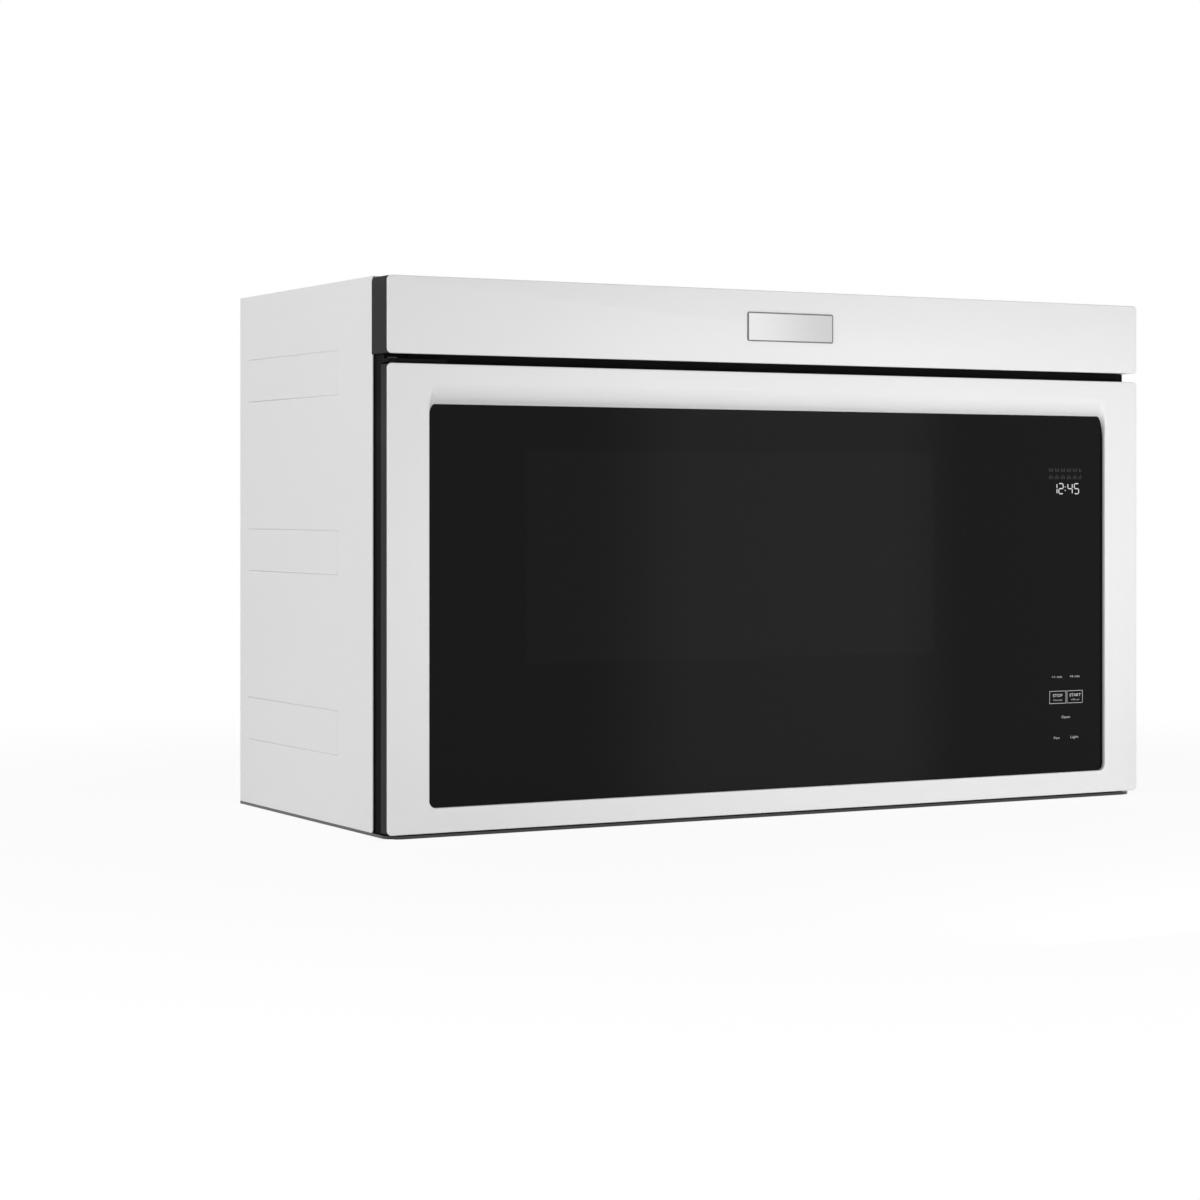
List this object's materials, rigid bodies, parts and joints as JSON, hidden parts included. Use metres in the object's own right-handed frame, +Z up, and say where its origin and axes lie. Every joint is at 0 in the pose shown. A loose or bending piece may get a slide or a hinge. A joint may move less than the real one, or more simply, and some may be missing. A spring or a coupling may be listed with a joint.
{
  "type": "over the range microwave",
  "caption": "Flush-fronted over the range microwave oven with a left-hinged full-width glass door, a fixed top vent panel, a hood blower and cooktop filters and lamps.",
  "frame": {"origin": "middle of the bounding box in X and Y, underside of the base pan in Z", "axes": "+X to the user's right, +Y towards the wall, +Z up"},
  "size_m": [0.762, 0.324, 0.454],
  "materials": {
    "white_paint": "satin",
    "black_paint": "satin",
    "grey_enamel": "satin",
    "galvanised": "zinc coated",
    "black_moulding": "fine grain",
    "grey_moulding": "fine grain",
    "white_moulding": "smooth",
    "dark_glass": "polished, back printed",
    "clear_glass": "polished",
    "ceramic": "glass ceramic",
    "mesh_aluminium": "layered mesh",
    "bare_aluminium": "brushed",
    "carbon": "granular",
    "circuit": "solder mask",
    "perforated_sheet": "perforated",
    "pin_steel": "ground",
    "copper": "copper tube and fins",
    "motor_steel": "plated",
    "bush_resin": "acetal"
  },
  "bodies": {
    "case": {"left_side_panel": "white_paint", "right_side_panel": "white_paint", "top_cover": "galvanised", "blower_plate": "galvanised", "weld_nuts": "galvanised", "power_cord_gland": "black_moulding", "back_plate": "galvanised", "base_plate": "black_paint", "grease_filters": "mesh_aluminium", "cooktop_lenses": "clear_glass", "cooktop_housings": "white_moulding", "cooktop_led_boards": "circuit", "face_plate": "grey_enamel", "front_frame": "black_moulding", "vent_panel": "white_paint", "vent_carrier": "black_moulding", "charcoal_filter": "carbon", "badge_plate": "bare_aluminium", "interlock_bracket": "black_moulding", "interlock_switches": "black_moulding", "release_solenoid": "motor_steel", "upper_hinge": "black_paint", "hinge_pins": "pin_steel", "oven_cavity": "grey_enamel", "oven_floor": "grey_enamel", "ceramic_floor": "ceramic", "waveguide": "galvanised", "stirrer_motor": "motor_steel", "magnetron_yoke": "motor_steel", "magnetron_anode": "copper", "component_bracket": "galvanised", "inverter_board": "circuit", "line_filter_board": "circuit", "cooling_shroud": "white_moulding", "cooling_fan_motor": "motor_steel", "cavity_lamp": "motor_steel", "blower_housing": "galvanised", "blower_motor": "motor_steel"},
    "door": {"door_frame": "white_paint", "door_glass": "dark_glass", "door_body": "grey_moulding", "hinge_bushes": "bush_resin", "display_module": "black_moulding", "touch_board": "circuit", "control_board": "circuit", "choke_plate": "grey_enamel", "choke_cover": "black_moulding", "door_screen": "perforated_sheet", "inner_window": "clear_glass", "latch_spring": "pin_steel"},
    "latch": {"latch_hooks": "bush_resin"},
    "release": {"release_plunger": "pin_steel"},
    "primary_switch": {"primary_plunger": "bush_resin"},
    "secondary_switch": {"secondary_plunger": "bush_resin"},
    "monitor_switch": {"monitor_plunger": "bush_resin"},
    "hood_blower": {"blower_shaft": "pin_steel", "blower_wheel_left": "galvanised", "blower_wheel_right": "galvanised"},
    "cooling_rotor": {"cooling_fan": "white_moulding"},
    "stirrer": {"stirrer_antenna": "bare_aluminium"}
  },
  "joints": [
    {"name": "door_swing", "type": "hinge", "parent": "case", "child": "door", "pos_m": [-0.373, -0.15295, 0.19], "axis": [0, 0, -1], "range_deg": [0, 110]},
    {"name": "latch_lift", "type": "slide", "parent": "door", "child": "latch", "axis": [0, 0, 1], "range_m": [0, 0.006], "deforming": ["latch_spring"]},
    {"name": "release_slide", "type": "slide", "parent": "case", "child": "release", "axis": [0, 0, 1], "range_m": [0, 0.006], "stiffness_N_per_m": 150, "springref_m": -0.004},
    {"name": "primary_switch_press", "type": "slide", "parent": "case", "child": "primary_switch", "axis": [0, 1, 0], "range_m": [0, 0.0015], "stiffness_N_per_m": 300, "springref_m": -0.0005},
    {"name": "secondary_switch_press", "type": "slide", "parent": "case", "child": "secondary_switch", "axis": [0, 1, 0], "range_m": [0, 0.0015], "stiffness_N_per_m": 300, "springref_m": -0.0005},
    {"name": "monitor_switch_press", "type": "slide", "parent": "case", "child": "monitor_switch", "axis": [0, 1, 0], "range_m": [0, 0.0015], "stiffness_N_per_m": 300, "springref_m": -0.0005},
    {"name": "hood_blower_spin", "type": "hinge", "parent": "case", "child": "hood_blower", "pos_m": [-0.05, 0.06195, 0.3903], "axis": [1, 0, 0], "continuous": true},
    {"name": "cooling_fan_spin", "type": "hinge", "parent": "case", "child": "cooling_rotor", "pos_m": [0.2837, 0.10175, 0.206], "axis": [0, 1, 0], "continuous": true},
    {"name": "stirrer_spin", "type": "hinge", "parent": "case", "child": "stirrer", "pos_m": [-0.05, 0.00275, 0.096], "axis": [0, 0, 1], "continuous": true}
  ],
  "couplings": [
    {"joint": "latch_lift", "follows": "release_slide", "ratio": 1}
  ]
}
